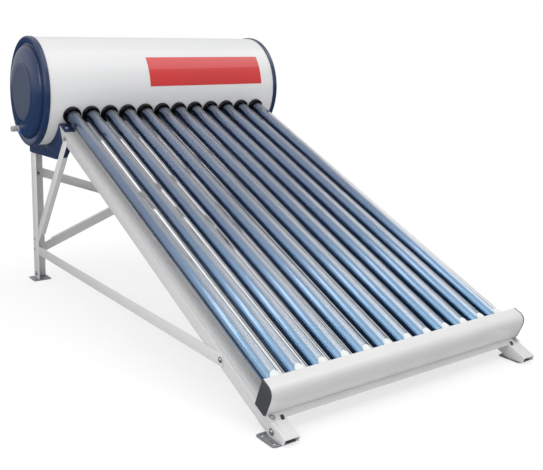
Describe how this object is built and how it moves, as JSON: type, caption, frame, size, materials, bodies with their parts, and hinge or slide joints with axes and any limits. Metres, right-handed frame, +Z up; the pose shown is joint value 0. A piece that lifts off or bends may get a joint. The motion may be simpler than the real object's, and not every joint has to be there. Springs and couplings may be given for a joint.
{
  "type": "evacuated tube solar water heater",
  "caption": "Thermosiphon solar water heater: horizontal insulated tank over sloping evacuated glass tubes that end in a tail bar, on a braced angle frame with foot plates.",
  "frame": {"origin": "on the ground, at the centre of the heater's footprint box", "axes": "+X along the tank, to the right seen from the front; -Y to the low front side with the tail bar; +Z up"},
  "size_m": [1.257, 2.0394, 1.1089],
  "materials": {
    "white_shell": "white gloss powder coat",
    "foam": "rigid polyurethane foam",
    "stainless": "rolled stainless sheet",
    "blue_cap": "moulded dark blue plastic, satin",
    "blue_saddle": "dark blue powder coat",
    "red_label": "plain red gloss plate",
    "bright_blue": "moulded blue plastic",
    "pipe_thread": "bright plated pipe thread",
    "tube_glass": "clear outer glass over a dark blue absorber coat",
    "black_rubber": "black rubber, glossy",
    "white_plastic": "moulded white plastic",
    "bar_metal": "light silver satin",
    "dark_plastic": "moulded dark grey plastic",
    "frame_metal": "silver powder coat",
    "galvanised": "hot-dip galvanised",
    "zinc_bolt": "zinc plated"
  },
  "bodies": {
    "frame": {"outer_shell": "white_shell", "insulation_foam": "foam", "inner_tank": "stainless", "end_cap_left": "blue_cap", "end_cap_right": "blue_cap", "front_label": "red_label", "pipe_nipple_left": "pipe_thread", "pipe_nipple_right": "pipe_thread", "pipe_collar_left": "bright_blue", "pipe_collar_right": "bright_blue", "dust_ring_01": "black_rubber", "dust_ring_02": "black_rubber", "dust_ring_03": "black_rubber", "dust_ring_04": "black_rubber", "dust_ring_05": "black_rubber", "dust_ring_06": "black_rubber", "dust_ring_07": "black_rubber", "dust_ring_08": "black_rubber", "dust_ring_09": "black_rubber", "dust_ring_10": "black_rubber", "dust_ring_11": "black_rubber", "dust_ring_12": "black_rubber", "tail_cup_strip": "white_plastic", "tail_bar": "bar_metal", "tail_bar_cap_left": "dark_plastic", "tail_bar_cap_right": "dark_plastic", "tail_bar_bolt_left": "zinc_bolt", "tail_bar_bolt_right": "zinc_bolt", "front_rail_left": "frame_metal", "front_rail_right": "frame_metal", "rear_leg_left": "frame_metal", "rear_leg_right": "frame_metal", "upper_strut_left": "frame_metal", "upper_strut_right": "frame_metal", "side_brace_left": "frame_metal", "side_brace_right": "frame_metal", "cross_brace_a": "frame_metal", "cross_brace_b": "frame_metal", "tank_saddle_left": "blue_saddle", "tank_saddle_right": "blue_saddle", "foot_front_left": "galvanised", "foot_front_right": "galvanised", "foot_rear_left": "galvanised", "foot_rear_right": "galvanised", "foot_bolt_front_left": "zinc_bolt", "foot_bolt_front_right": "zinc_bolt", "foot_bolt_rear_left": "zinc_bolt", "foot_bolt_rear_right": "zinc_bolt"},
    "tube_01": {"vacuum_tube_01": "tube_glass"},
    "tube_02": {"vacuum_tube_02": "tube_glass"},
    "tube_03": {"vacuum_tube_03": "tube_glass"},
    "tube_04": {"vacuum_tube_04": "tube_glass"},
    "tube_05": {"vacuum_tube_05": "tube_glass"},
    "tube_06": {"vacuum_tube_06": "tube_glass"},
    "tube_07": {"vacuum_tube_07": "tube_glass"},
    "tube_08": {"vacuum_tube_08": "tube_glass"},
    "tube_09": {"vacuum_tube_09": "tube_glass"},
    "tube_10": {"vacuum_tube_10": "tube_glass"},
    "tube_11": {"vacuum_tube_11": "tube_glass"},
    "tube_12": {"vacuum_tube_12": "tube_glass"}
  },
  "joints": [
    {"name": "tube_01_lift", "type": "slide", "parent": "frame", "child": "tube_01", "axis": [0, 0.9135, 0.4067], "range_m": [0, 0.05]},
    {"name": "tube_02_lift", "type": "slide", "parent": "frame", "child": "tube_02", "axis": [0, 0.9135, 0.4067], "range_m": [0, 0.05]},
    {"name": "tube_03_lift", "type": "slide", "parent": "frame", "child": "tube_03", "axis": [0, 0.9135, 0.4067], "range_m": [0, 0.05]},
    {"name": "tube_04_lift", "type": "slide", "parent": "frame", "child": "tube_04", "axis": [0, 0.9135, 0.4067], "range_m": [0, 0.05]},
    {"name": "tube_05_lift", "type": "slide", "parent": "frame", "child": "tube_05", "axis": [0, 0.9135, 0.4067], "range_m": [0, 0.05]},
    {"name": "tube_06_lift", "type": "slide", "parent": "frame", "child": "tube_06", "axis": [0, 0.9135, 0.4067], "range_m": [0, 0.05]},
    {"name": "tube_07_lift", "type": "slide", "parent": "frame", "child": "tube_07", "axis": [0, 0.9135, 0.4067], "range_m": [0, 0.05]},
    {"name": "tube_08_lift", "type": "slide", "parent": "frame", "child": "tube_08", "axis": [0, 0.9135, 0.4067], "range_m": [0, 0.05]},
    {"name": "tube_09_lift", "type": "slide", "parent": "frame", "child": "tube_09", "axis": [0, 0.9135, 0.4067], "range_m": [0, 0.05]},
    {"name": "tube_10_lift", "type": "slide", "parent": "frame", "child": "tube_10", "axis": [0, 0.9135, 0.4067], "range_m": [0, 0.05]},
    {"name": "tube_11_lift", "type": "slide", "parent": "frame", "child": "tube_11", "axis": [0, 0.9135, 0.4067], "range_m": [0, 0.05]},
    {"name": "tube_12_lift", "type": "slide", "parent": "frame", "child": "tube_12", "axis": [0, 0.9135, 0.4067], "range_m": [0, 0.05]}
  ]
}
